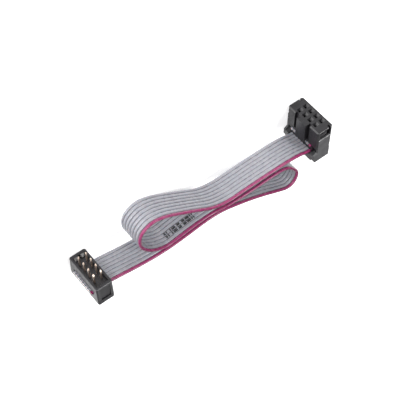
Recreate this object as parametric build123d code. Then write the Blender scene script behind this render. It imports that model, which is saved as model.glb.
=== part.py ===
from build123d import *
import math
import os

os.makedirs("parts", exist_ok=True)

# An 8-way ribbon lead: a 2 x 4 pin plug at the -X end, a keyed 2 x 4 socket with a strain relief
# at the +X end, and eight joined wires between them. All sizes are in millimetres.
#
# Row frame: X runs from the plug to the socket, +Y is the way both connectors mate, and +Z is up.
# The lead lies on its side, with wire 1 at the top. The origin is at the middle of the
# connectors' box, on the surface that both of them rest on.
#
# Each connector is built in its own frame: x from its middle, h up from its closed side towards
# its mating side, w from its mid-length towards wire 1. place() puts it in the row frame.

# --- driving dimensions -------------------------------------------------------------------------
WAYS = 8
PIN_PITCH = 2.54
WIRE_PITCH = PIN_PITCH / 2
WIRE_R = 0.45
CORE_R = 0.19
PIN_SIDE = 0.5
FIT = 0.05                      # clearance between two moulded pieces
THROUGH = 20.0                  # further than any piece reaches, for cuts that go right through
SOFT_EDGE = 0.12                # chamfer on the edges of the mating faces

SOCKET_HEIGHT = 14.8            # closed side to mating face, strain relief included
SOCKET_DEPTH = 6.2
SOCKET_LENGTH = 14.8            # along the row of wires
PLUG_HEIGHT = 8.4
PLUG_DEPTH = 5.8
PLUG_LENGTH = 14.6              # at the mating rim; the ends slope out to REST_W at the cover
REST_W = 7.6                    # the ends that both connectors rest on, from the middle of the wires
PLUG_X = -43.25                 # middles of the connectors
SOCKET_X = 43.05
HALF_HEIGHT = SOCKET_HEIGHT / 2

# heights of the wires' axes in the connectors
PLUG_WIRE_H = 3.65
SOCKET_IN_H = 3.25              # where the ribbon comes in, under the cover
SOCKET_CUT_H = 6.2              # where it ends, over the cover
GROOVE_R = 0.5                  # the cradle that each wire lies in
LAND = 0.25                     # half the gap between two moulded pieces beside the wires
RIBBON_GAP = 0.3                # from the ribbon's edge to the wall beside it
WRAP_X = 1.72                   # the cover's rounded back edge, which the ribbon goes round

# piercing forks
FORK_T = 0.32
FORK_HALF_W = 0.72
FORK_SLOT_HALF = 0.2
FORK_FIT = 0.06
FORK_POINT = 0.25               # chamfer that points the tines
TINE_FIT = 0.005                # the tines are pressed into the insulation
FORK_NECK = 0.75                # the slot goes this far past the wire's axis

# The ribbon's route, as X and Y of its middle plane: out of the plug, along the bottom to the
# right-hand fold, back over itself to the left-hand loop, and over the top into the socket.
# It goes under the socket's cover, round the cover's back edge and ends over the cover.
ROUTE = [
    (-46.7, -3.74), (-45.1, -3.78), (-42.5, -3.73), (-39.75, -3.76), (-36.1, -4.4), (-30.3, -5.7),
    (-23.8, -6.75), (-16.8, -7.05), (-9.8, -6.3), (-2.8, -5.3), (3.2, -5.5), (9.2, -7.5),
    (15.2, -9.8), (21.2, -12.6), (27.2, -15.9), (32.0, -18.3), (34.8, -16.6), (35.7, -12.5),
    (33.8, -8.9), (30.5, -5.4), (25.2, -4.85), (18.2, -5.15), (10.2, -5.2), (5.2, -4.8),
    (0.2, -3.4), (-5.8, -3.6), (-11.8, -4.3), (-17.5, -5.5), (-21.8, -3.9), (-25.5, -0.6),
    (-28.1, 4.3), (-27.5, 10.0), (-23.2, 12.9), (-17.8, 11.2), (-11.8, 7.25), (-5.8, 3.2),
    (0.2, -1.2), (6.2, -2.8), (13.2, -2.45), (21.2, -2.25), (29.2, -2.3), (35.2, -2.85),
    (39.2, -4.2), (42.95, -4.13), (45.38, -4.15), (46.25, -3.29), (46.25, -2.06), (45.38, -1.2),
    (43.65, -1.17), (41.6, -1.22), (39.6, -1.19),
]
ARC_SHARE = 0.45                # how much of the shorter run each bend takes up

# --- places that repeat -------------------------------------------------------------------------
ROW_X = (-PIN_PITCH / 2, PIN_PITCH / 2)
PAIRS = WAYS // 2


def wire_w(way):
    """Where a wire lies along the connector, way 1 at the +w end."""
    return (WAYS + 1 - 2 * way) / 2 * WIRE_PITCH


def pin_w(way):
    """Ways 1 and 2 share the first pair of pins, 3 and 4 the second, and so on."""
    pair = (way - 1) // 2
    return (PAIRS - 1 - 2 * pair) / 2 * PIN_PITCH


def row_x(way):
    """Odd ways are in the -x row and even ways in the +x row."""
    return ROW_X[(way - 1) % 2]


WAY_NUMBERS = range(1, WAYS + 1)
RIBBON_HALF_W = WAYS * WIRE_PITCH / 2


# --- helpers ------------------------------------------------------------------------------------
def block(x, h, w):
    """A box between two limits along each axis of the connector's frame."""
    size = [high - low for low, high in (x, h, w)]
    centre = [(high + low) / 2 for low, high in (x, h, w)]
    return Pos(*centre) * Box(*size)


def both_ends(x, h, w):
    """The same box at the +w end and at the -w end."""
    return block(x, h, w) + block(x, h, (-w[1], -w[0]))


def rod_along_x(x, h, w, radius):
    """A round bar along x, used for the cradles that the wires lie in."""
    middle = (x[0] + x[1]) / 2
    return Pos(middle, h, w) * Rot(0, 90, 0) * Cylinder(radius, x[1] - x[0])


def prism_along_w(points, w):
    """A closed outline of (x, h) points, extruded between two values of w."""
    face = make_face(Polyline(*points, close=True))
    return Pos(0, 0, w[0]) * extrude(face, w[1] - w[0])


def prism_along_x(points, x):
    """A closed outline of (h, w) points, extruded between two values of x."""
    face = make_face(Polyline(*[(x[0], h, w) for h, w in points], close=True))
    return extrude(face, x[1] - x[0], dir=(1, 0, 0))


def taper(w, low, high):
    """A rectangle that changes between two heights, each given as (x, h, half x, half w)."""
    ends = [Pos(x, h, w) * Rot(-90, 0, 0) * Rectangle(2 * half_x, 2 * half_w)
            for x, h, half_x, half_w in (low, high)]
    return loft([end.face() for end in ends])


def cradles(x, h):
    """The eight grooves that a moulded piece has for the wires."""
    return Compound([rod_along_x(x, h, wire_w(way), GROOVE_R) for way in WAY_NUMBERS])


def fork_slots(h):
    """The eight slots that let the forks through a moulded piece."""
    half_t = FORK_T / 2 + FORK_FIT
    half_w = FORK_HALF_W + FORK_FIT
    slots = []
    for way in WAY_NUMBERS:
        x, w = row_x(way), wire_w(way)
        slots.append(block((x - half_t, x + half_t), h, (w - half_w, w + half_w)))
    return Compound(slots)


def fork(way, low, slot_top, top):
    """A plate that straddles one wire, with pointed tines and a slot for the copper."""
    x, w = row_x(way), wire_w(way)
    plate = block((x - FORK_T / 2, x + FORK_T / 2), (low, top), (w - FORK_HALF_W, w + FORK_HALF_W))
    slot = block((x - FORK_T, x + FORK_T), (0, slot_top), (w - FORK_SLOT_HALF, w + FORK_SLOT_HALF))
    tine_tips = plate.edges().filter_by(Axis.X).group_by(Axis.Y)[0]
    return chamfer(tine_tips, FORK_POINT) - slot


def place(shape, centre_x):
    """From a connector's frame to the row frame."""
    return Pos(centre_x, -HALF_HEIGHT, REST_W) * shape


def save(shape, node, colour):
    """Write one node, which must be one solid."""
    solids = shape.solids()
    if len(solids) != 1:
        print("PIECES", node, len(solids))
    solid = solids[0]
    solid.label = node
    solid.color = colour
    export_step(solid, f"parts/{node}.step")


# --- plug ---------------------------------------------------------------------------------------
PLUG_PIN_TIP_H = 11.8
PIN_TAPER = 0.7                 # length of the pin's tapered tip
PIN_TIP_HALF = 0.11
PIN_FIT = 0.01                  # the pins are pressed into their holes
PLUG_FLOOR_H = 7.0              # bottom of the recess in the mating face
RECESS_HALF_X = 2.15
RECESS_HALF_W = 6.3
RIB_X = 1.15                    # the wedges on the recess's end walls
RIB_HALF_X = 0.65
RIB_FOOT_W = 5.5
RIB_LOW_H = 7.3                 # the wedges rise from here at the foot to RIB_HIGH_H at the wall
RIB_HIGH_H = 8.2
PLUG_COVER_BASE_H = 2.05
PLUG_COVER_EDGE = 0.2
PIN_ROOT_H = 4.5                # the pins' lower ends, inside the body
PLUG_SLOT_TOP_H = 4.7           # the slots that the ribbon leaves by are taller than the ribbon
PLUG_SLOT_DEPTH = 0.45
PLUG_ARM_TOP_H = 7.6
PLUG_ARM_HALF_X = 1.7
PLUG_ARM_W = (6.75, 7.25)
PLUG_HALF_X = PLUG_DEPTH / 2
PLUG_FORK_LOW_H = 2.4
PLUG_FORK_TOP_H = 5.1
CORNER = 0.35                   # chamfer on the plug's upright corners


def plug_body():
    """The upper moulding: cradles below, a recess with eight pin holes above, and sloped ends."""
    half_x, rim_w, foot_w = PLUG_HALF_X, PLUG_LENGTH / 2, REST_W - FIT / 2
    foot_h = PLUG_COVER_BASE_H + FIT
    cheek_w = RIBBON_HALF_W + RIBBON_GAP
    ends = [(foot_h, -foot_w), (foot_h, foot_w), (PLUG_HEIGHT, rim_w), (PLUG_HEIGHT, -rim_w)]
    body = prism_along_x(ends, (-half_x, half_x))
    upright = body.edges().filter_by(lambda edge: abs(edge.center().X) > half_x - FIT
                                     and abs(edge.center().Z) > rim_w - FIT)
    body = chamfer(upright, CORNER)
    body = chamfer(body.edges().group_by(Axis.Y)[-1], SOFT_EDGE)
    body -= block((-THROUGH, THROUGH), (0, PLUG_WIRE_H + LAND), (-cheek_w, cheek_w))
    body -= cradles((-half_x, half_x), PLUG_WIRE_H)
    slot_in_x = half_x - PLUG_SLOT_DEPTH
    for slot_x in ((-THROUGH, -slot_in_x), (slot_in_x, THROUGH)):
        body -= block(slot_x, (0, PLUG_SLOT_TOP_H), (-cheek_w, cheek_w))
    body -= fork_slots((PLUG_WIRE_H, PLUG_FORK_TOP_H + FIT))
    body -= both_ends((-PLUG_ARM_HALF_X - FIT, PLUG_ARM_HALF_X + FIT), (0, PLUG_ARM_TOP_H + FIT),
                      (PLUG_ARM_W[0] - FIT, THROUGH))
    body -= block((-RECESS_HALF_X, RECESS_HALF_X), (PLUG_FLOOR_H, THROUGH), (-RECESS_HALF_W, RECESS_HALF_W))
    # two wedges stand on each end wall of the recess
    low_h, wall_w = PLUG_FLOOR_H - FIT, RECESS_HALF_W + FIT
    wedge = [(low_h, RIB_FOOT_W), (RIB_LOW_H, RIB_FOOT_W), (RIB_HIGH_H, wall_w), (low_h, wall_w)]
    for rib_x in (-RIB_X, RIB_X):
        rib = prism_along_x(wedge, (rib_x - RIB_HALF_X, rib_x + RIB_HALF_X))
        body += rib + mirror(rib, Plane.XY)
    hole = PIN_SIDE / 2 + PIN_FIT
    for way in WAY_NUMBERS:
        x, w = row_x(way), pin_w(way)
        body -= block((x - hole, x + hole), (PIN_ROOT_H - FIT, THROUGH), (w - hole, w + hole))
    return body


def plug_cover():
    """The lower moulding: a base, a bar with cradles for the wires, and two latch arms."""
    half_x = PLUG_HALF_X
    bar_w = RIBBON_HALF_W + RIBBON_GAP - FIT
    base = block((-half_x, half_x), (0, PLUG_COVER_BASE_H), (-REST_W, REST_W))
    base = chamfer(base.edges().filter_by(Axis.Y), CORNER)
    base = chamfer(base.edges().group_by(Axis.Y)[0], PLUG_COVER_EDGE)
    inside_h = PLUG_COVER_BASE_H / 2
    cover = base + block((-half_x, half_x), (inside_h, PLUG_WIRE_H - LAND), (-bar_w, bar_w))
    cover += both_ends((-PLUG_ARM_HALF_X, PLUG_ARM_HALF_X), (inside_h, PLUG_ARM_TOP_H), PLUG_ARM_W)
    cover -= cradles((-half_x, half_x), PLUG_WIRE_H)
    cover -= fork_slots((PLUG_FORK_LOW_H - FIT, PLUG_WIRE_H))
    return cover


def plug_contact(way):
    """A square pin with a tapered tip, on a fork that straddles its wire."""
    x, w = row_x(way), pin_w(way)
    half = PIN_SIDE / 2
    shoulder_h = PLUG_PIN_TIP_H - PIN_TAPER
    pin = block((x - half, x + half), (PIN_ROOT_H, shoulder_h), (w - half, w + half))
    pin += taper(w, (x, shoulder_h, half, half), (x, PLUG_PIN_TIP_H, PIN_TIP_HALF, PIN_TIP_HALF))
    return pin + fork(way, PLUG_FORK_LOW_H, PLUG_WIRE_H + FORK_NECK, PLUG_FORK_TOP_H)


# --- socket -------------------------------------------------------------------------------------
SOCKET_HALF_X = SOCKET_DEPTH / 2
SOCKET_HALF_W = SOCKET_LENGTH / 2
SOCKET_BODY_LOW_H = SOCKET_CUT_H + LAND
SOCKET_CORNER = 0.5             # chamfer on the upright corners
SOCKET_FRONT_EDGE = 0.4         # chamfer along the keyed side of the mating face
CHANNEL_IN_W = 5.95             # the channels in the body's ends, for the cover's arms
COVER_FRONT_GAP = 0.15          # the cover's front edge stands back from the body's
COVER_LANDS_BACK_X = 1.1        # the raised lands between its cradles end here
COVER_CHEEK_HALF_X = 2.0        # the blocks beside the ribbon that join its arms to it
COVER_ARM_X = (-1.45, 0.95)
COVER_ARM_W = (6.0, 6.62)
HOOK_H = (11.7, 13.2)           # the hook at the top of each cover arm, in the body's window
HOOK_OUT_W = 7.05
WINDOW_X = (-2.0, 2.1)
WINDOW_TOP_H = 14.2
SLIT_X = (1.45, 2.1)            # the slit from each window to the mating face
SLIT_IN_W = 6.3
CLIP_ARM_X = (-2.6, 2.3)
CLIP_ARM_W = (6.9, REST_W)
CLIP_ARM_TOP_H = 11.0
CLIP_BAR_TOP_H = 2.75
CLIP_FOOT_TOP_H = 3.45
CLIP_FRONT_X = -3.9             # the clip's foot reaches this far along the ribbon
CLIP_BACK_X = 2.5
CLIP_EDGE = 0.25                # chamfer round its closed side
CLIP_ARM_EDGE = 0.2
CLIP_ARM_OUTLINE = [            # (x, h) of each arm, from its root up the back and down the front
    (CLIP_FRONT_X, 1.0), (CLIP_BACK_X, 1.0), (CLIP_BACK_X, 4.2), (CLIP_ARM_X[1], 6.0),
    (CLIP_ARM_X[1], CLIP_ARM_TOP_H), (CLIP_ARM_X[0], CLIP_ARM_TOP_H), (CLIP_ARM_X[0], 4.5),
    (CLIP_FRONT_X, 3.6),
]
CLIP_NICK_X = 2.0               # a nick in the back edge of each arm
CLIP_NICK_H = (4.9, 5.5)
CLIP_STEP = (0.6, 1.3, 0.5)     # a step in the front of each foot: length, height, distance in
KEY_W = (-1.95, 2.3)
KEY_PROUD = 1.0
KEY_APRON_T = 0.45              # the key's lower edge hangs down in front of the wires' cut ends
KEY_GROOVES_W = ((-3.9, KEY_W[0]), (KEY_W[1], 3.2))
KEY_GROOVE_DEPTH = 0.9
KEY_GROOVE_LOW_H = 7.6
KEY_NOTCH_W = (-2.5, -1.45)     # a notch behind the key, where it meets the wider groove
KEY_NOTCH_DEPTH = 0.5
KEY_NOTCH_T = 0.3               # the key's thickness in front of the notch
CELL_HALF_X = 0.75              # the cell that holds each contact
CELL_HALF_W = 0.95
CELL_TOP_H = 13.6
HOLE_HALF = 0.4                 # the hole that a mating pin goes through
FUNNEL_HALF_X = 0.92
FUNNEL_HALF_W = 0.74
FUNNEL_DEPTH = 0.75
FUNNEL_LEAN = 0.2               # each lead-in is longer on its +x side
SOCKET_FORK_LOW_H = 4.9
SOCKET_BASE_H = (7.3, 7.9)
CONTACT_FIT = 0.02
BEAM_HALF_X = 0.35
BEAM_OUTLINE = [                # (out from the pin's axis, h) of each spring beam
    (0.63, 7.8), (0.88, 7.8), (0.50, 12.2), (0.85, 13.4), (0.60, 13.4), (0.25, 12.2),
]


def socket_body():
    """The keyed upper moulding, with a cell and a lead-in hole for each contact."""
    half_x = SOCKET_HALF_X
    body = block((-half_x, half_x), (SOCKET_BODY_LOW_H, SOCKET_HEIGHT), (-SOCKET_HALF_W, SOCKET_HALF_W))
    body = chamfer(body.edges().filter_by(Axis.Y), SOCKET_CORNER)
    body = chamfer(body.edges().group_by(Axis.Y)[-1].sort_by(Axis.X)[0], SOCKET_FRONT_EDGE)
    body = chamfer(body.edges().group_by(Axis.Y)[-1].sort_by(Axis.X)[1:], SOFT_EDGE)
    for groove_w in KEY_GROOVES_W:
        body -= block((-THROUGH, -half_x + KEY_GROOVE_DEPTH), (KEY_GROOVE_LOW_H, THROUGH), groove_w)
    key_front = -half_x - KEY_PROUD
    key_root = -half_x + KEY_GROOVE_DEPTH
    body += block((key_front, key_root), (SOCKET_CUT_H + GROOVE_R + FIT, SOCKET_HEIGHT), KEY_W)
    body += block((key_front, key_front + KEY_APRON_T), (SOCKET_CUT_H - LAND, SOCKET_HEIGHT), KEY_W)
    body -= block((key_front + KEY_NOTCH_T, -half_x), (SOCKET_HEIGHT - KEY_NOTCH_DEPTH, THROUGH),
                  KEY_NOTCH_W)
    body -= cradles((-half_x - FIT, half_x), SOCKET_CUT_H)
    # end channels for the arms, each with a window above and a slit up to the mating face
    body -= both_ends((CLIP_ARM_X[0] - FIT, CLIP_ARM_X[1] + FIT), (0, CLIP_ARM_TOP_H + FIT),
                      (CLIP_ARM_W[0] - FIT, THROUGH))
    body -= both_ends(WINDOW_X, (0, WINDOW_TOP_H), (CHANNEL_IN_W, THROUGH))
    body -= both_ends(SLIT_X, (0, THROUGH), (SLIT_IN_W, THROUGH))
    body -= fork_slots((SOCKET_CUT_H, SOCKET_BASE_H[1]))
    for way in WAY_NUMBERS:
        x, w = row_x(way), pin_w(way)
        body -= block((x - CELL_HALF_X, x + CELL_HALF_X), (SOCKET_BASE_H[0], CELL_TOP_H),
                      (w - CELL_HALF_W, w + CELL_HALF_W))
        body -= block((x - HOLE_HALF, x + HOLE_HALF), (CELL_TOP_H - FIT, SOCKET_HEIGHT),
                      (w - HOLE_HALF, w + HOLE_HALF))
        body -= taper(w, (x, SOCKET_HEIGHT - FUNNEL_DEPTH, HOLE_HALF, HOLE_HALF),
                      (x + FUNNEL_LEAN, SOCKET_HEIGHT, FUNNEL_HALF_X, FUNNEL_HALF_W))
    return body


def socket_cover():
    """The bar that the ribbon goes round, with cradles on both faces and two latch arms."""
    front_x = -SOCKET_HALF_X + COVER_FRONT_GAP
    bar_w = RIBBON_HALF_W + RIBBON_GAP
    round_h = (SOCKET_IN_H + SOCKET_CUT_H) / 2
    round_r = round_h - SOCKET_IN_H - GROOVE_R
    core = block((front_x, WRAP_X), (round_h - round_r, round_h + round_r), (-bar_w, bar_w))
    core += Pos(WRAP_X, round_h, 0) * Cylinder(round_r, 2 * bar_w)
    cover = core + block((front_x, COVER_LANDS_BACK_X), (SOCKET_IN_H + LAND, SOCKET_CUT_H - LAND),
                         (-bar_w, bar_w))
    cover -= cradles((-SOCKET_DEPTH, SOCKET_DEPTH), SOCKET_IN_H)
    cover -= cradles((-SOCKET_DEPTH, SOCKET_DEPTH), SOCKET_CUT_H)
    cheek_h = (CLIP_FOOT_TOP_H + FIT, SOCKET_BODY_LOW_H - FIT)
    cover += both_ends((-COVER_CHEEK_HALF_X, COVER_CHEEK_HALF_X), cheek_h,
                       (bar_w - 2 * FIT, COVER_ARM_W[1]))
    cover += both_ends(COVER_ARM_X, (round_h, HOOK_H[1]), COVER_ARM_W)
    cover += both_ends(COVER_ARM_X, HOOK_H, (COVER_ARM_W[0], HOOK_OUT_W))
    cover -= fork_slots((SOCKET_FORK_LOW_H - FIT, SOCKET_CUT_H))
    return cover


def strain_relief():
    """The clip under the ribbon: a bar, two feet beside the ribbon and two arms up the ends."""
    bar = block((CLIP_FRONT_X, CLIP_BACK_X), (0, CLIP_BAR_TOP_H), (-REST_W, REST_W))
    bar = chamfer(bar.edges().group_by(Axis.Y)[0], CLIP_EDGE)
    foot_in_w = RIBBON_HALF_W + RIBBON_GAP + FIT
    foot_h = (CLIP_BAR_TOP_H / 2, CLIP_FOOT_TOP_H)
    clip = bar + both_ends((CLIP_FRONT_X, CLIP_BACK_X), foot_h, (foot_in_w, REST_W))
    arm = prism_along_w(CLIP_ARM_OUTLINE, CLIP_ARM_W)
    arm = chamfer(arm.edges().group_by(Axis.Y)[-1].group_by(Axis.Z)[-1], CLIP_ARM_EDGE)
    clip += arm + mirror(arm, Plane.XY)
    clip -= both_ends((CLIP_NICK_X, THROUGH), CLIP_NICK_H, (foot_in_w, THROUGH))
    step_length, step_h, step_in = CLIP_STEP
    clip -= both_ends((-THROUGH, CLIP_FRONT_X + step_length), (-THROUGH, step_h),
                      (foot_in_w + step_in, THROUGH))
    return clip


def socket_contact(way):
    """Two spring beams that pinch a mating pin, a base, and a fork that straddles a wire."""
    x, w = row_x(way), pin_w(way)
    low, top = SOCKET_BASE_H
    base_half_x, base_half_w = CELL_HALF_X - CONTACT_FIT, CELL_HALF_W - CONTACT_FIT
    contact = block((x - base_half_x, x + base_half_x), (low, top), (w - base_half_w, w + base_half_w))
    for side in (-1, 1):
        points = [(x - BEAM_HALF_X, h, w + side * out) for out, h in BEAM_OUTLINE]
        face = make_face(Polyline(*points, close=True))
        contact += extrude(face, 2 * BEAM_HALF_X, dir=(1, 0, 0))
    return contact + fork(way, SOCKET_FORK_LOW_H, SOCKET_CUT_H + FORK_NECK, (low + top) / 2)


# --- ribbon -------------------------------------------------------------------------------------
def route_radii(points):
    """The radius of each bend: its share of the shorter run beside it."""
    runs = [Vector(*b) - Vector(*a) for a, b in zip(points, points[1:])]
    radii = []
    for before, after in zip(runs, runs[1:]):
        half_turn = math.radians(before.get_angle(after) / 2)
        radii.append(ARC_SHARE * min(before.length, after.length) / math.tan(half_turn))
    return radii


def wire_line(way):
    """The axis of one wire: the route at that wire's height."""
    z = REST_W + wire_w(way)
    points = [(x, y, z) for x, y in ROUTE]
    return FilletPolyline(*points, radius=route_radii(points))


def tube(line, outer, inner=0.0):
    """A round tube, or a round bar, along a line that starts along +X."""
    section = Circle(outer) - Circle(inner) if inner else Circle(outer)
    start = Plane(origin=line @ 0, z_dir=line % 0)
    return sweep(start * section, path=line)


def tine_cuts(way):
    """What the forks at the two ends of a wire cut out of its insulation."""
    z = REST_W + wire_w(way)
    half_t = FORK_T / 2 + TINE_FIT
    inner, outer = FORK_SLOT_HALF - TINE_FIT, WIRE_R + FIT
    cuts = []
    for centre_x, h in ((PLUG_X, PLUG_WIRE_H), (SOCKET_X, SOCKET_CUT_H)):
        x, y = centre_x + row_x(way), h - HALF_HEIGHT
        for low, high in ((inner, outer), (-outer, -inner)):
            height = (y - WIRE_PITCH, y + WIRE_PITCH)
            cuts.append(block((x - half_t, x + half_t), height, (z + low, z + high)))
    return Compound(cuts)


# --- write the nodes ----------------------------------------------------------------------------
BLACK = Color(0.13, 0.13, 0.14)
CLIP_GREY = Color(0.25, 0.25, 0.26)
GOLD = Color(0.85, 0.65, 0.30)
COPPER = Color(0.80, 0.45, 0.30)
GREY = Color(0.62, 0.62, 0.65)
PINK = Color(0.78, 0.25, 0.50)

save(place(plug_body(), PLUG_X), "plug_body", BLACK)
save(place(plug_cover(), PLUG_X), "plug_cover", BLACK)
save(place(socket_body(), SOCKET_X), "socket_body", BLACK)
save(place(socket_cover(), SOCKET_X), "socket_cover", BLACK)
save(place(strain_relief(), SOCKET_X), "strain_relief", CLIP_GREY)

for way in WAY_NUMBERS:
    save(place(plug_contact(way), PLUG_X), f"plug_contact_{way}", GOLD)
    save(place(socket_contact(way), SOCKET_X), f"socket_contact_{way}", GOLD)
    axis = wire_line(way)
    jacket = tube(axis, WIRE_R, CORE_R)
    if way == 1:
        print("radii", [round(radius, 2) for radius in route_radii([(x, y, 0) for x, y in ROUTE])])
        print("wire length", round(axis.length, 2))
        print("volume", round(jacket.volume, 3), "section x length",
              round(math.pi * (WIRE_R ** 2 - CORE_R ** 2) * axis.length, 3))
    save(jacket - tine_cuts(way), f"insulation_{way}", PINK if way == 1 else GREY)
    save(tube(axis, CORE_R), f"conductor_{way}", COPPER)
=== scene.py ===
import bpy
import math
from mathutils import Matrix, Vector


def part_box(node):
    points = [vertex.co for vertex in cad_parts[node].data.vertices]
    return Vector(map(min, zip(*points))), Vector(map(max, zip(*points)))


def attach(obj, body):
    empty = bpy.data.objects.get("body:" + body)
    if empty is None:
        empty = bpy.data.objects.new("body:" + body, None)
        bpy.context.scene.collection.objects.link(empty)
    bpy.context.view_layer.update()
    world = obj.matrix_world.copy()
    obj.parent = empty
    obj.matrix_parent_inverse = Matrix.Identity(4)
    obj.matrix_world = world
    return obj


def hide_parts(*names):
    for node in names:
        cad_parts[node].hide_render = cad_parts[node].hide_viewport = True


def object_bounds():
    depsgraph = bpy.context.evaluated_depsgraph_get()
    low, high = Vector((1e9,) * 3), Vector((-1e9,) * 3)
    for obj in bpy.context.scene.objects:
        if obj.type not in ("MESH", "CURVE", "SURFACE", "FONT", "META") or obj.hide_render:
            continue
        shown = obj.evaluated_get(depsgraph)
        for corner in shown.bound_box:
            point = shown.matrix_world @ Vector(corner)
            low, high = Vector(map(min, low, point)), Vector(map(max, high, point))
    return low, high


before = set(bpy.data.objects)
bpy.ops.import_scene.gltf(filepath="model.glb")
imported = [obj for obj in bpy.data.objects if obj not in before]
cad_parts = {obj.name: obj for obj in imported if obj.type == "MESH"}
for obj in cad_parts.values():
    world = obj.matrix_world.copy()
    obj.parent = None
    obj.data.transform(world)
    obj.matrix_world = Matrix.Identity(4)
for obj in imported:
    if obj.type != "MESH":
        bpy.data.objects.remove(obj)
CAD_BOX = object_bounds()
MM = 0.001

# The lead lies on its side: X runs from the plug to the socket, +Y is the way both connectors
# mate, and wire 1, the pink one, is at the top. The ribbon bends only in X and Y, so its eight
# wires share one route and differ in height.

# --- the ribbon's route, in metres ---------------------------------------------------------------
ROUTE = [
    (-0.04670, -0.00374), (-0.04510, -0.00378), (-0.04250, -0.00373), (-0.03975, -0.00376),
    (-0.03610, -0.00440), (-0.03030, -0.00570), (-0.02380, -0.00675), (-0.01680, -0.00705),
    (-0.00980, -0.00630), (-0.00280, -0.00530), (0.00320, -0.00550), (0.00920, -0.00750),
    (0.01520, -0.00980), (0.02120, -0.01260), (0.02720, -0.01590), (0.03200, -0.01830),
    (0.03480, -0.01660), (0.03570, -0.01250), (0.03380, -0.00890), (0.03050, -0.00540),
    (0.02520, -0.00485), (0.01820, -0.00515), (0.01020, -0.00520), (0.00520, -0.00480),
    (0.00020, -0.00340), (-0.00580, -0.00360), (-0.01180, -0.00430), (-0.01750, -0.00550),
    (-0.02180, -0.00390), (-0.02550, -0.00060), (-0.02810, 0.00430), (-0.02750, 0.01000),
    (-0.02320, 0.01290), (-0.01780, 0.01120), (-0.01180, 0.00725), (-0.00580, 0.00320),
    (0.00020, -0.00120), (0.00620, -0.00280), (0.01320, -0.00245), (0.02120, -0.00225),
    (0.02920, -0.00230), (0.03520, -0.00285), (0.03920, -0.00420), (0.04295, -0.00413),
    (0.04538, -0.00415), (0.04625, -0.00329), (0.04625, -0.00206), (0.04538, -0.00120),
    (0.04365, -0.00117), (0.04160, -0.00122), (0.03960, -0.00119),
]
ROUTE_STEPS = 8                # points read from the spline between two of the route's points

WAYS = 8
WIRE_PITCH = 1.27 * MM
WIRE_R = 0.45 * MM
CORE_R = 0.19 * MM
LOBE_HALF = 0.60 * MM          # half of how far one wire's jacket reaches towards its neighbours
EDGE_HALF = 0.47 * MM          # the same on the free side of the outer wires
WEB_HALF = 0.11 * MM           # half the thickness of the web between two wires
PLUG_LOW, PLUG_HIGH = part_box("plug_body")
MID_Z = (PLUG_LOW.z + PLUG_HIGH.z) / 2
QUARTER_STEPS = 15             # steps in each quarter of a jacket's outline
CORE_STEPS = 12                # steps round a core
CORE_FIT = 0.98                # a core is this much of the jacket's bore

# --- marks and painted shade on the wires --------------------------------------------------------
GROOVE_AT = math.pi / 2 * WIRE_R  # the grooves beside a wire, as a distance around its jacket
GROOVE_HALF = 0.24 * MM        # half the width that their painted shade fades over
GROOVE_SHADE_TONE = 0.25             # how bright their painted shade is, against the jacket
CUT_END = 0.02 * MM            # the wire's end face is nearer than this to the ribbon's start

# plain ink dashes on the inner side of two wires, in the left-hand loop
PRINTED_WAYS = (3, 4)
PRINT_SPAN = (0.1335, 0.1450)  # from the ribbon's start, along the wire
DASH_STEP = 0.24 * MM
DASH_NOISE = 0.13 * MM
DASH_LIMIT = 0.44              # a step is inked where the noise is above this
INK_SIDE = 0.95 * MM           # the inner side begins this far around the jacket
INK = (0.020, 0.020, 0.022)

# --- softened edges on the CAD parts -------------------------------------------------------------
HOUSING_EDGE = 0.09 * MM
CLIP_EDGE = 0.07 * MM
PIN_EDGE = 0.03 * MM
CONTACT_EDGE = 0.02 * MM
EDGE_ANGLE = math.radians(40)  # only edges that turn by more than this are softened
SMOOTH_ANGLE = math.radians(50)  # a wire's surface is smooth up to this turn


# --- materials -----------------------------------------------------------------------------------
FLAT_FACING = 0.90             # a face is flat where the largest part of its normal is above this
SLOPED_FACING = 0.75           # and slopes where it is below this
FLAT_SHINE = 0.32              # specular level of the housings' flat faces
SLOPE_SHINE = 0.95             # and of their slopes
STREAK_STRETCH = 0.04          # how fast the streaks on a wire vary along it, against around it
FLOOR_GLOW = 0.52


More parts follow.
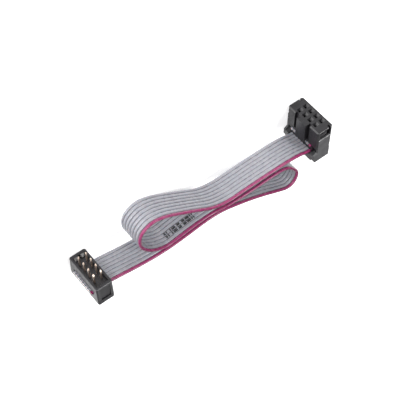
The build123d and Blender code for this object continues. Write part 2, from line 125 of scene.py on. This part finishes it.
class Shader:
    """A node material with one Principled shader, and short calls that add to it."""

    def __init__(self, name):
        self.material = bpy.data.materials.new(name)
        self.material.use_nodes = True
        self.tree = self.material.node_tree
        self.principled = self.tree.nodes["Principled BSDF"]
        self.place = self.node("ShaderNodeTexCoord").outputs["Object"]

    def node(self, kind, **values):
        made = self.tree.nodes.new(kind)
        for key, value in values.items():
            setattr(made, key, value)
        return made

    def link(self, output, target):
        self.tree.links.new(output, target)

    def set(self, **values):
        for key, value in values.items():
            self.principled.inputs[key.replace("_", " ")].default_value = value

    def feed(self, name, output):
        self.link(output, self.principled.inputs[name])

    def noise(self, size, detail=4.0, where=None, stretch=(1, 1, 1)):
        """A noise with features about that size, in metres."""
        mapping = self.node("ShaderNodeMapping")
        mapping.inputs["Scale"].default_value = stretch
        self.link(where or self.place, mapping.inputs["Vector"])
        made = self.node("ShaderNodeTexNoise")
        made.inputs["Scale"].default_value = 1 / size
        made.inputs["Detail"].default_value = detail
        self.link(mapping.outputs["Vector"], made.inputs["Vector"])
        return made.outputs["Fac"]

    def ramp(self, value, low, high, low_at=0.35, high_at=0.65):
        """A colour that goes from low to high as value goes from low_at to high_at."""
        made = self.node("ShaderNodeValToRGB")
        for stop, position, colour in zip(made.color_ramp.elements, (low_at, high_at), (low, high)):
            stop.position = position
            stop.color = (*colour, 1.0)
        self.link(value, made.inputs["Fac"])
        return made.outputs["Color"]

    def span(self, value, low, high, low_at=0.3, high_at=0.7):
        """A number that goes from low to high as value goes from low_at to high_at."""
        made = self.node("ShaderNodeMapRange")
        limits = {"From Min": low_at, "From Max": high_at, "To Min": low, "To Max": high}
        for name, number in limits.items():
            made.inputs[name].default_value = number
        self.link(value, made.inputs["Value"])
        return made.outputs["Result"]

    def maths(self, operation, *values):
        """The result of a maths node on numbers or on other nodes' outputs."""
        made = self.node("ShaderNodeMath", operation=operation)
        for socket, value in zip(made.inputs, values):
            if isinstance(value, (int, float)):
                socket.default_value = value
            else:
                self.link(value, socket)
        return made.outputs["Value"]

    def spot(self, **axes):
        """A place to read a noise at, from the outputs given for its axes."""
        made = self.node("ShaderNodeCombineXYZ")
        for axis, output in axes.items():
            self.link(output, made.inputs[axis])
        return made.outputs["Vector"]

    def slope(self):
        """0 where the surface faces along one of the part's axes, and 1 where it slopes between two,
        as on lead-ins, wedges and softened edges."""
        normal = self.node("ShaderNodeTexCoord").outputs["Normal"]
        parts = self.node("ShaderNodeSeparateXYZ")
        self.link(normal, parts.inputs["Vector"])
        x, y, z = (self.maths("ABSOLUTE", parts.outputs[axis]) for axis in "XYZ")
        largest = self.maths("MAXIMUM", self.maths("MAXIMUM", x, y), z)
        return self.span(largest, 1.0, 0.0, SLOPED_FACING, FLAT_FACING)

    def mix(self, factor, low, high):
        """From the low colour to the high colour as factor goes from 0 to 1."""
        made = self.node("ShaderNodeMix", data_type="RGBA")
        self.link(factor, made.inputs["Factor"])
        self.link(low, made.inputs["A"])
        made.inputs["B"].default_value = (*high, 1.0)
        return made.outputs["Result"]

    def ink_dashes(self, along, around, span):
        """1 on plain dashes of uneven length along one side of a wire, and 0 elsewhere."""
        step = self.maths("SNAP", along, DASH_STEP)
        picked = self.maths("GREATER_THAN", self.noise(DASH_NOISE, 0, self.spot(X=step)), DASH_LIMIT)
        inside = self.maths("MULTIPLY", self.maths("GREATER_THAN", along, span[0]),
                            self.maths("LESS_THAN", along, span[1]))
        side = self.maths("GREATER_THAN", self.maths("ABSOLUTE", around), INK_SIDE)
        return self.maths("MULTIPLY", self.maths("MULTIPLY", picked, inside), side)

    def bump(self, height, depth):
        """Relief of that depth, in metres."""
        made = self.node("ShaderNodeBump")
        made.inputs["Distance"].default_value = depth
        made.inputs["Strength"].default_value = 1.0
        self.link(height, made.inputs["Height"])
        self.feed("Normal", made.outputs["Normal"])


def moulded_plastic(name, dark, light, rough):
    """Satin glass-filled plastic: faint flow marks, a fine spark-eroded grain and uneven gloss. The
    slopes come from polished parts of the mould, so they shine more."""
    s = Shader(name)
    s.feed("Base Color", s.ramp(s.noise(2.5 * MM, 5), dark, light))
    s.feed("Roughness", s.span(s.noise(0.9 * MM, 3, stretch=(1, 0.4, 1)), rough - 0.06, rough + 0.1))
    s.bump(s.noise(0.09 * MM, 2), 0.012 * MM)
    s.feed("Specular IOR Level", s.span(s.slope(), FLAT_SHINE, SLOPE_SHINE, 0.0, 1.0))
    return s.material


def plated_metal(name, dark, light, rough):
    """Plated contact metal with fine drawing marks along its length."""
    s = Shader(name)
    s.feed("Base Color", s.ramp(s.noise(0.8 * MM, 3), dark, light))
    s.feed("Roughness", s.span(s.noise(0.2 * MM, 3, stretch=(1, 0.1, 1)), rough - 0.05, rough + 0.12))
    s.bump(s.noise(0.08 * MM, 2, stretch=(1, 0.08, 1)), 0.004 * MM)
    s.set(Metallic=1.0)
    return s.material


def wire_pvc(name, dark, light, painted_end_shading, print_span=None):
    """Soft extruded PVC: long faint streaks along the wire, slightly uneven gloss, painted shade along
    the grooves beside it, and a painted tone on its end face that stands for the light and shade
    falling there. A print span, in metres along the wire, gives its inner side a row of plain ink
    dashes."""
    s = Shader(name)
    along = s.node("ShaderNodeAttribute", attribute_name="along").outputs["Fac"]
    around = s.node("ShaderNodeAttribute", attribute_name="around").outputs["Fac"]
    streaks = s.noise(0.25 * MM, 3, s.spot(X=s.maths("MULTIPLY", along, STREAK_STRETCH), Y=around))
    colour = s.ramp(streaks, dark, light, 0.3, 0.7)
    # painted shade: the jacket is darkened towards the grooves beside the wire, where shade falls
    # between neighbours
    from_groove = s.maths("ABSOLUTE", s.maths("SUBTRACT", s.maths("ABSOLUTE", around), GROOVE_AT))
    groove_shade = s.span(from_groove, 1.0, 0.0, 0.0, GROOVE_HALF)
    colour = s.mix(groove_shade, colour, tuple(GROOVE_SHADE_TONE * channel for channel in dark))
    # painted light and shade: the end face at the ribbon's start is painted dark on the pink wire, for
    # the shade it sits in, and light on the grey wires, for the light that falls on their ends
    colour = s.mix(s.maths("LESS_THAN", along, CUT_END), colour, painted_end_shading)
    if print_span:
        colour = s.mix(s.ink_dashes(along, around, print_span), colour, INK)
    s.feed("Base Color", colour)
    s.feed("Roughness", s.span(s.noise(1.5 * MM, 3), 0.22, 0.34))
    s.bump(streaks, 0.003 * MM)
    s.set(Specular_IOR_Level=0.5, Subsurface_Weight=0.10, Subsurface_Scale=0.3 * MM)
    return s.material


def paper_floor(name):
    """A light table: a matte white sheet, faintly lit from below, with a barely visible tooth."""
    s = Shader(name)
    s.feed("Base Color", s.ramp(s.noise(8 * MM, 3), (0.93, 0.93, 0.93), (0.96, 0.96, 0.96)))
    s.bump(s.noise(0.6 * MM, 2), 0.01 * MM)
    s.set(Roughness=0.9, Specular_IOR_Level=0.1, Emission_Strength=FLOOR_GLOW)
    s.principled.inputs["Emission Color"].default_value = (1, 1, 1, 1)
    return s.material


BLACK = moulded_plastic("housing_black", (0.0105, 0.010, 0.0115), (0.019, 0.018, 0.021), 0.34)
CLIP = moulded_plastic("clip_grey", (0.050, 0.050, 0.052), (0.072, 0.072, 0.076), 0.36)
GOLD = plated_metal("pin_gold", (0.84, 0.66, 0.54), (0.97, 0.85, 0.74), 0.34)
TIN = plated_metal("contact_tin", (0.50, 0.47, 0.42), (0.74, 0.70, 0.64), 0.22)
COPPER = plated_metal("copper", (0.62, 0.30, 0.17), (0.86, 0.48, 0.31), 0.35)
# the third tone is the grey wires' end face, painted light for the light that falls on it
GREY_PVC = ((0.28, 0.28, 0.315), (0.34, 0.34, 0.375), (0.66, 0.66, 0.68))
GREY = wire_pvc("wire_grey", *GREY_PVC)
GREY_PRINTED = wire_pvc("wire_grey_printed", *GREY_PVC, PRINT_SPAN)
# the third tone is the pink wire's end face, painted dark for the shade it sits in
PINK = wire_pvc("wire_pink", (0.25, 0.027, 0.105), (0.31, 0.038, 0.138), (0.045, 0.008, 0.022))


# --- CAD parts that stay: a better finish and softened moulded edges ------------------------------
def finish_part(node, material, edge):
    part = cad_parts[node]
    part.data.materials.clear()
    part.data.materials.append(material)
    bevel = part.modifiers.new("soft_edges", "BEVEL")
    bevel.width = edge
    bevel.segments = 2
    bevel.limit_method = "ANGLE"
    bevel.angle_limit = EDGE_ANGLE
    bevel.use_clamp_overlap = True
    bevel.harden_normals = True


for node in ("plug_body", "plug_cover", "socket_body", "socket_cover"):
    finish_part(node, BLACK, HOUSING_EDGE)
finish_part("strain_relief", CLIP, CLIP_EDGE)
for way in range(1, WAYS + 1):
    finish_part(f"plug_contact_{way}", GOLD, PIN_EDGE)
    finish_part(f"socket_contact_{way}", TIN, CONTACT_EDGE)


# --- the ribbon ----------------------------------------------------------------------------------
def spline_points(route):
    """Points along the smooth curve that has the route as its control points."""
    data = bpy.data.curves.new("route", "CURVE")
    data.dimensions = "3D"
    data.resolution_u = ROUTE_STEPS
    spline = data.splines.new("NURBS")
    spline.points.add(len(route) - 1)
    for point, (x, y) in zip(spline.points, route):
        point.co = (x, y, 0, 1)
    spline.order_u = 3
    spline.use_endpoint_u = True
    carrier = bpy.data.objects.new("route", data)
    mesh = bpy.data.meshes.new_from_object(carrier)
    line = [Vector((v.co.x, v.co.y)) for v in mesh.vertices]
    bpy.data.meshes.remove(mesh)
    bpy.data.objects.remove(carrier)
    bpy.data.curves.remove(data)
    return line


LINE = spline_points(ROUTE)


def wire_height(way):
    return MID_Z + (WAYS + 1 - 2 * way) / 2 * WIRE_PITCH


def half_outline(joined):
    """The outline of a jacket's upper half, as (sideways, up). It ends in a thin web where it joins a
    neighbour, and is rounded where it doesn't."""
    reach = LOBE_HALF if joined else EDGE_HALF
    top = math.pi / 2 - (math.asin(WEB_HALF / WIRE_R) if joined else 0.0)
    quarter = [math.pi / 2 * k / QUARTER_STEPS for k in range(QUARTER_STEPS + 1)]
    rise = [(WIRE_R * math.cos(angle), reach * math.sin(angle)) for angle in quarter if angle < top]
    web = [(WEB_HALF, WIRE_PITCH / 2), (-WEB_HALF, WIRE_PITCH / 2)] if joined else []
    fall = [(-out, up) for out, up in reversed(rise)]
    return rise + web + fall


def jacket_outline(joined_above, joined_below):
    """The whole outline of a jacket: over the top, then back underneath."""
    below = [(out, -up) for out, up in reversed(half_outline(joined_below))]
    return half_outline(joined_above) + below[1:-1]


def core_outline(radius):
    angles = [2 * math.pi * k / CORE_STEPS for k in range(CORE_STEPS)]
    return [(radius * math.cos(angle), radius * math.sin(angle)) for angle in angles]


def tube_faces(count, hollow):
    """The faces of a bar or a hollow tube along LINE, with count points around each ring."""
    ring_count = 2 if hollow else 1
    stride = count * ring_count
    last = (len(LINE) - 1) * stride
    following = [(k, (k + 1) % count) for k in range(count)]
    faces = []
    for start in range(0, last, stride):
        for ring in range(ring_count):
            first = start + ring * count
            for a, b in following:
                quad = (first + a, first + b, first + b + stride, first + a + stride)
                faces.append(quad if ring else quad[::-1])
    for start, step in ((0, 1), (last, -1)):
        if hollow:
            faces += [(start + a, start + b, start + b + count, start + a + count)[::step]
                      for a, b in following]
        else:
            faces.append(tuple(range(start, start + count))[::step])
    return faces


def sweep(name, outline, z, bore=None):
    """A closed mesh that carries an outline along the route at height z, hollow if a bore is given.
    The attributes along and around are distances on its surface, for the material."""
    section = list(outline)
    if bore:
        angles = [math.atan2(up, out) for out, up in outline]
        section += [(bore * math.cos(angle), bore * math.sin(angle)) for angle in angles]
    points, along, around = [], [], []
    walked = 0.0
    for i, centre in enumerate(LINE):
        ahead = (LINE[min(i + 1, len(LINE) - 1)] - LINE[max(i - 1, 0)]).normalized()
        normal = Vector((-ahead.y, ahead.x))
        walked += (centre - LINE[i - 1]).length if i else 0.0
        for out, up in section:
            place = centre + normal * out
            points.append((place.x, place.y, z + up))
            along.append(walked)
            around.append(math.atan2(up, out) * WIRE_R)
    mesh = bpy.data.meshes.new(name)
    mesh.from_pydata(points, [], tube_faces(len(outline), bore is not None))
    for label, values in (("along", along), ("around", around)):
        mesh.attributes.new(label, "FLOAT", "POINT").data.foreach_set("value", values)
    mesh.polygons.foreach_set("use_smooth", [True] * len(mesh.polygons))
    mesh.update()
    mesh.set_sharp_from_angle(angle=SMOOTH_ANGLE)
    piece = bpy.data.objects.new(name, mesh)
    bpy.context.scene.collection.objects.link(piece)
    return piece


def lay_cord(piece, node, material, slot, width, z):
    """Gives a swept piece its material, hangs it on the root body and hides the CAD part that it
    replaces.
    """
    piece.data.materials.append(material)
    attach(piece, "root")
    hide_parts(node)


def jacket_finish(way):
    """The material of a wire's jacket and its slot."""
    if way == 1:
        return PINK, "wire_pink"
    return (GREY_PRINTED if way in PRINTED_WAYS else GREY), "wire_grey"


for way in range(1, WAYS + 1):
    z = wire_height(way)
    jacket = sweep(f"wire_{way}", jacket_outline(way > 1, way < WAYS), z, CORE_R)
    lay_cord(jacket, f"insulation_{way}", *jacket_finish(way), 2 * WIRE_R, z)
    core = sweep(f"core_{way}", core_outline(CORE_R * CORE_FIT), z)
    lay_cord(core, f"conductor_{way}", COPPER, "copper", 2 * CORE_R, z)


# --- floor, camera and light ---------------------------------------------------------------------
FLOOR_HALF = 3.0


def floor():
    corners = [(-FLOOR_HALF, -FLOOR_HALF, 0), (FLOOR_HALF, -FLOOR_HALF, 0),
               (FLOOR_HALF, FLOOR_HALF, 0), (-FLOOR_HALF, FLOOR_HALF, 0)]
    mesh = bpy.data.meshes.new("floor")
    mesh.from_pydata(corners, [], [(0, 1, 2, 3)])
    mesh.materials.append(paper_floor("floor_paper"))
    piece = bpy.data.objects.new("floor", mesh)
    bpy.context.scene.collection.objects.link(piece)


# The camera looks down the connectors' mating side. It is turned about its own axis, because the
# lead is seen as it would be with its mating faces up.
CAMERA_TARGET = Vector((0.0010, -0.0068, 0.0039))
CAMERA_AZIMUTH = math.radians(202.32)
CAMERA_ELEVATION = math.radians(26.42)
CAMERA_DISTANCE = 0.3515
CAMERA_TURN = math.radians(136.70)
CAMERA_LENS = 99.06
CAMERA_SENSOR = 36


def camera():
    data = bpy.data.cameras.new("camera")
    data.lens = CAMERA_LENS
    data.sensor_width = CAMERA_SENSOR
    data.clip_start = 0.01
    data.clip_end = 20
    holder = bpy.data.objects.new("camera", data)
    back = Vector((math.sin(CAMERA_AZIMUTH) * math.cos(CAMERA_ELEVATION),
                   -math.cos(CAMERA_AZIMUTH) * math.cos(CAMERA_ELEVATION), math.sin(CAMERA_ELEVATION)))
    level = back.to_track_quat("Z", "Y").to_matrix().to_4x4()
    holder.matrix_world = (Matrix.Translation(CAMERA_TARGET + back * CAMERA_DISTANCE) @ level
                           @ Matrix.Rotation(CAMERA_TURN, 4, "Z"))
    bpy.context.scene.collection.objects.link(holder)
    bpy.context.scene.camera = holder


def softbox(name, place, aim, size, power):
    data = bpy.data.lights.new(name, "AREA")
    data.shape = "DISK"
    data.size = size
    data.energy = power
    lamp = bpy.data.objects.new(name, data)
    lamp.location = place
    lamp.rotation_euler = (Vector(aim) - Vector(place)).to_track_quat("-Z", "Y").to_euler()
    lamp.visible_camera = False
    bpy.context.scene.collection.objects.link(lamp)


def daylight(strength):
    world = bpy.data.worlds.new("studio")
    world.use_nodes = True
    world.node_tree.nodes["Background"].inputs["Color"].default_value = (1, 1, 1, 1)
    world.node_tree.nodes["Background"].inputs["Strength"].default_value = strength
    bpy.context.scene.world = world


floor()
camera()
MIDDLE = (CAD_BOX[0] + CAD_BOX[1]) / 2
softbox("key", (-0.80, 1.10, 0.60), MIDDLE, 0.40, 11.0)
softbox("side", (-1.00, 0.50, 0.14), MIDDLE, 0.26, 4.0)
softbox("rim", (0.42, 0.50, 0.95), MIDDLE, 0.36, 6.0)
softbox("top", (0.25, -0.70, 1.10), MIDDLE, 0.90, 10.0)
daylight(0.23)
bpy.context.scene.view_settings.view_transform = "Standard"
